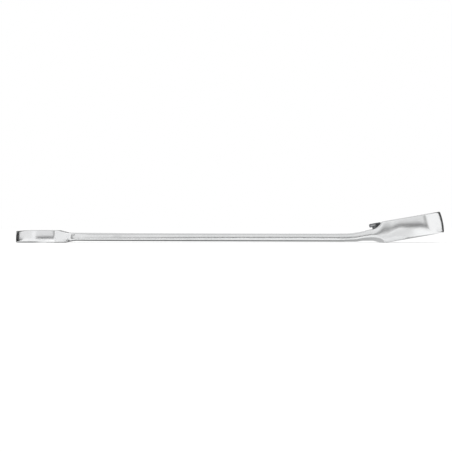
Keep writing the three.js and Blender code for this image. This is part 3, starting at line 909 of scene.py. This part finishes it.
def sheet(name, corners, material, faces=None, only_reflected=True):
    mesh = bpy.data.meshes.new(name)
    mesh.from_pydata(corners, [], faces or [tuple(range(len(corners)))])
    mesh.materials.append(material)
    card = link_object(name, mesh)
    card.visible_camera = not only_reflected
    card.visible_diffuse = not only_reflected
    card.visible_shadow = not only_reflected


def level_sheet(name, low, high, height, material, only_reflected=True):
    corners = [(low[0], low[1]), (high[0], low[1]), (high[0], high[1]), (low[0], high[1])]
    sheet(name, [(*corner, height) for corner in corners], material, None, only_reflected)


def upright_card(name, one_end, other_end, bottom, top, material):
    corners = [(*one_end, bottom), (*other_end, bottom), (*other_end, top), (*one_end, top)]
    sheet(name, corners, material)


def round_place(angle):
    turn = math.radians(angle)
    return ROUND_DISTANCE * math.sin(turn), -ROUND_DISTANCE * math.cos(turn)


def round_card(name, start, end, top, grey):
    upright_card(name, round_place(start), round_place(end), CARD_BOTTOM, top, glow(name, grey))


def round_pair(name, side, start, end, top, near_grey, far_grey):
    middle = (start + end) / 2
    round_card(f"{name}_near", side * start, side * middle, top, near_grey)
    round_card(f"{name}_far", side * middle, side * end, top, far_grey)


def surrounding_cards():
    left, right = CARD_LEFT - CARD_SIDE_FADE, CARD_RIGHT + CARD_SIDE_FADE
    front, half = -CARD_DISTANCE, WIDE_CARD_HALF
    upright_card("front_card", (left, front), (right, front), CARD_BOTTOM, CARD_TOP, front_glow())
    round_pair("left_card", -1, SIDE_FROM, BACK_LEFT_FROM, SIDE_TOP, SIDE_LEFT_GREY, SIDE_LEFT_GREY)
    round_pair("right_card", 1, SIDE_FROM, BACK_RIGHT_FROM, SIDE_TOP, SIDE_RIGHT_GREY, SIDE_RIGHT_GREY)
    round_pair("back_left_card", -1, BACK_LEFT_FROM, BACK_TO, BACK_TOP, BACK_GREY, BACK_LEFT_FAR_GREY)
    round_pair("back_right_card", 1, BACK_RIGHT_FROM, BACK_TO, BACK_TOP, BACK_GREY, BACK_GREY)
    level_sheet("ceiling_card", (-half, front), (half, half), CEILING_HEIGHT, ceiling_glow())
    near = glow("near_card", CARD_DARK)
    level_sheet("near_card", (left, front), (right, NEAR_CARD_FRONT), END_CARD_HEIGHT, near)


def end_cards():
    half = WIDE_CARD_HALF
    dark = glow("end_card", BACK_GREY)
    tip_corner = (cad_low.x + END_CARD_INSET, half)
    heel_corner = (cad_high.x - END_CARD_INSET, HEEL_CARD_FRONT)
    level_sheet("tip_card", (-half, TIP_CARD_FRONT), tip_corner, END_CARD_HEIGHT, dark)
    level_sheet("heel_card", heel_corner, (half, half), END_CARD_HEIGHT, dark)


# Painted reflections on the lower flanks: sheets before the open end and the ring that fade from painted
# shade to painted light
def fade_cards():
    head = side_glow(
        "head_card", HEAD_CARD_SHADE_TO, HEAD_CARD_LIGHT_FROM, HEAD_CARD_SHADE, HEAD_CARD_LIGHT)
    level_sheet("head_card", HEAD_CARD_LOW, HEAD_CARD_HIGH, FADE_CARD_HEIGHT, head)
    ring = side_glow(
        "ring_card", RING_CARD_SHADE_TO, RING_CARD_LIGHT_FROM, RING_CARD_SHADE, RING_CARD_LIGHT)
    level_sheet("ring_card", RING_CARD_LOW, RING_CARD_HIGH, FADE_CARD_HEIGHT, ring)


def flank_cards():
    front, back = (FLANK_CARD_X, FLANK_CARD_FRONT), (FLANK_CARD_X, FLANK_CARD_BACK)
    # The flank card glows in place of the shaded floor beside the flank: a painted highlight
    light = glow("flank_card", FLANK_CARD_GREY)
    upright_card("flank_card", front, back, FLANK_CARD_BOTTOM, FLANK_CARD_TOP, light)
    front, back = (SHOULDER_CARD_X, SHOULDER_CARD_FRONT), (SHOULDER_CARD_X, SHOULDER_CARD_BACK)
    grey = glow("shoulder_card", SHOULDER_CARD_GREY)
    upright_card("shoulder_card", front, back, SHOULDER_CARD_BOTTOM, SHOULDER_CARD_TOP, grey)


# Half the width of the outline, seen from above
def plan_half(x):
    if x < shoulder_x:
        return math.sqrt(max(OPEN_RADIUS ** 2 - (x - open_x) ** 2, 0))
    if x < flare_end_x:
        return mix(shoulder_half, SHANK_WIDTH / 2, (x - shoulder_x) / FLARE_RUN)
    if x < touch_x:
        return float(neck_half(x))
    return math.sqrt(max(RING_RADIUS ** 2 - (x - ring_x) ** 2, 0))


# A dark sheet under one stretch of the spanner, seen only in reflections: painted shadow, reaching a front
# past the outline and fading in grey along X
def painted_shadow_card(name, start, end, front, left_grey, right_grey):
    height = UNDER_HEIGHT * MM
    corners = []
    faces = []
    for index, x in enumerate(steps(start, end, UNDER_STEP)):
        corners += [(x * MM, -(plan_half(x) + front) * MM, height), (x * MM, 0, height)]
        if index:
            faces.append((2 * index - 2, 2 * index, 2 * index + 1, 2 * index - 1))
    sheet(name, corners, side_glow(name, start * MM, end * MM, left_grey, right_grey), faces)


# Painted shadow under the open end's tip, the shank, the neck and the ring, lighter towards the open end's
# middle
def painted_shadow_cards():
    fade_x = open_x - TIP_UNDER_FADE
    dark, ring = SHANK_SHADOW_GREY, RING_SHADOW_GREY
    painted_shadow_card("tip_shadow_card", tip_x, fade_x, TIP_UNDER_FRONT, dark, dark)
    painted_shadow_card("tip_shadow_fade_card", fade_x, open_x, TIP_UNDER_FRONT, dark, TIP_UNDER_LIGHT)
    painted_shadow_card("shank_shadow_card", shoulder_x, neck_x, SHANK_UNDER_FRONT, SHANK_SHADOW_LEFT_GREY, dark)
    painted_shadow_card("neck_shadow_card", neck_x, crest_x, NECK_UNDER_FRONT, ring, NECK_SHADOW_GREY)
    painted_shadow_card("ring_shadow_card", touch_x, heel_x, RING_UNDER_FRONT, ring, ring)


def world_light():
    world = bpy.data.worlds.new("studio")
    bpy.context.scene.world = world
    world.use_nodes = True
    tree = world.node_tree
    path = tree.nodes.new("ShaderNodeLightPath")
    seen = path.outputs["Is Camera Ray"]
    for kind in ("Is Glossy Ray", "Is Transmission Ray"):
        either_ray = tree.nodes.new("ShaderNodeMath")
        either_ray.operation = "MAXIMUM"
        tree.links.new(seen, either_ray.inputs[0])
        tree.links.new(path.outputs[kind], either_ray.inputs[1])
        seen = either_ray.outputs[0]
    strength = tree.nodes.new("ShaderNodeMapRange")
    strength.inputs["To Min"].default_value = FILL_LIGHT
    strength.inputs["To Max"].default_value = 1
    tree.links.new(seen, strength.inputs["Value"])
    background = tree.nodes["Background"]
    background.inputs["Color"].default_value = (1, 1, 1, 1)
    tree.links.new(strength.outputs["Result"], background.inputs["Strength"])


def photo_camera():
    camera = bpy.data.cameras.new("camera")
    camera.lens = CAMERA_LENS
    camera.clip_end = 4 * FLOOR_HALF
    holder = link_object("camera", camera)
    holder.location = (CAMERA_X, -CAMERA_DISTANCE, CAMERA_Z)
    holder.rotation_euler = (math.pi / 2, 0, 0)
    bpy.context.scene.camera = holder


def studio():
    half = FLOOR_HALF
    level_sheet("floor", (-half, -half), (half, half), 0, matte("floor", FLOOR_GREY), False)
    surrounding_cards()
    end_cards()
    fade_cards()
    flank_cards()
    painted_shadow_cards()
    world_light()
    photo_camera()
    bpy.context.scene.view_settings.view_transform = "Standard"


body = body_piece()
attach(body, "body")
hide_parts("spanner_body")
dress(body, satin_chrome())

lever = lever_piece()
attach(lever, "lever")
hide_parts("reversing_lever")
dress(lever, dark_steel())

machined = machined_steel()
for node in ("drive_gear", "pawl", "pawl_pin", "detent_plunger"):
    dress(frame["nodes"][node], machined)
soften(frame["nodes"]["drive_gear"], GEAR_EDGE)
sprung = spring_steel()
for node in ("gear_snap_ring", "lever_clip", "detent_spring"):
    dress(frame["nodes"][node], sprung)

studio()
